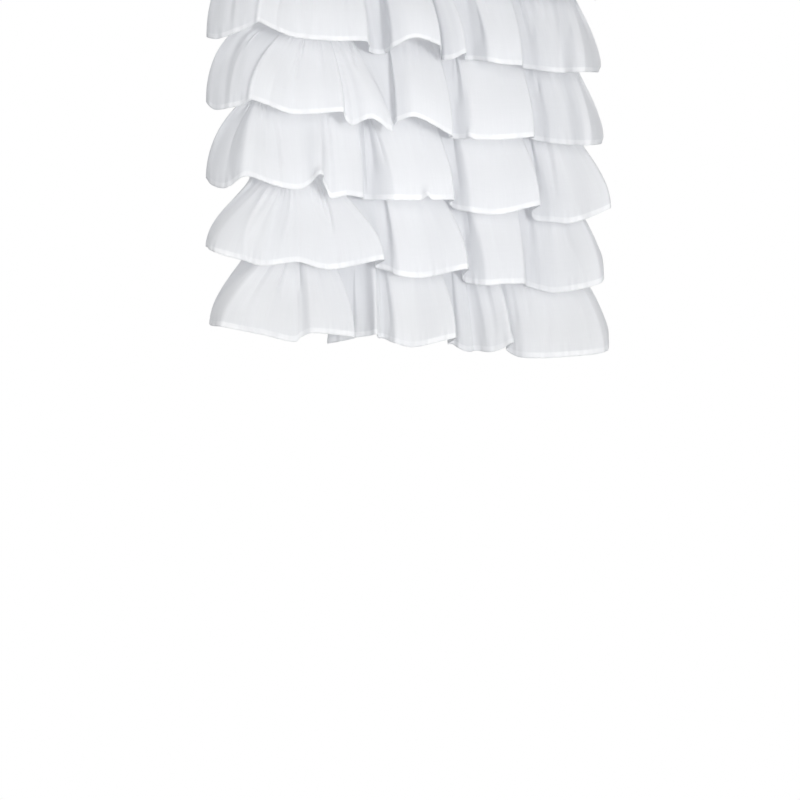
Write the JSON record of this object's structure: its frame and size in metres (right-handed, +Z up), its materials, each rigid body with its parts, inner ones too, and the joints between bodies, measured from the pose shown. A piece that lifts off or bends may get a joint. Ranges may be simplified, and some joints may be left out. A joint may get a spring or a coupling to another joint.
{
  "type": "ruffled net curtain",
  "caption": "Sheer white net curtain with tiers of gathered ruffles sewn across a backing panel, hung from its top edge.",
  "frame": {"origin": "middle of the backing panel's top edge, which is the mount top_edge", "axes": "+X along the curtain's width, +Y from the ruffles towards the window behind, +Z up; the cloth hangs down along -Z"},
  "size_m": [0.9463, 0.1152, 1.0074],
  "materials": {
    "backing_panel_cloth": "matte sheer white",
    "ruffle_1_cloth": "matte sheer white",
    "ruffle_2_cloth": "matte sheer white",
    "ruffle_3_cloth": "matte sheer white",
    "ruffle_4_cloth": "matte sheer white",
    "ruffle_5_cloth": "matte sheer white",
    "ruffle_6_cloth": "matte sheer white"
  },
  "bodies": {
    "root": {"backing_panel": "backing_panel_cloth", "ruffle_1": "ruffle_1_cloth", "ruffle_2": "ruffle_2_cloth", "ruffle_3": "ruffle_3_cloth", "ruffle_4": "ruffle_4_cloth", "ruffle_5": "ruffle_5_cloth", "ruffle_6": "ruffle_6_cloth"}
  },
  "joints": []
}
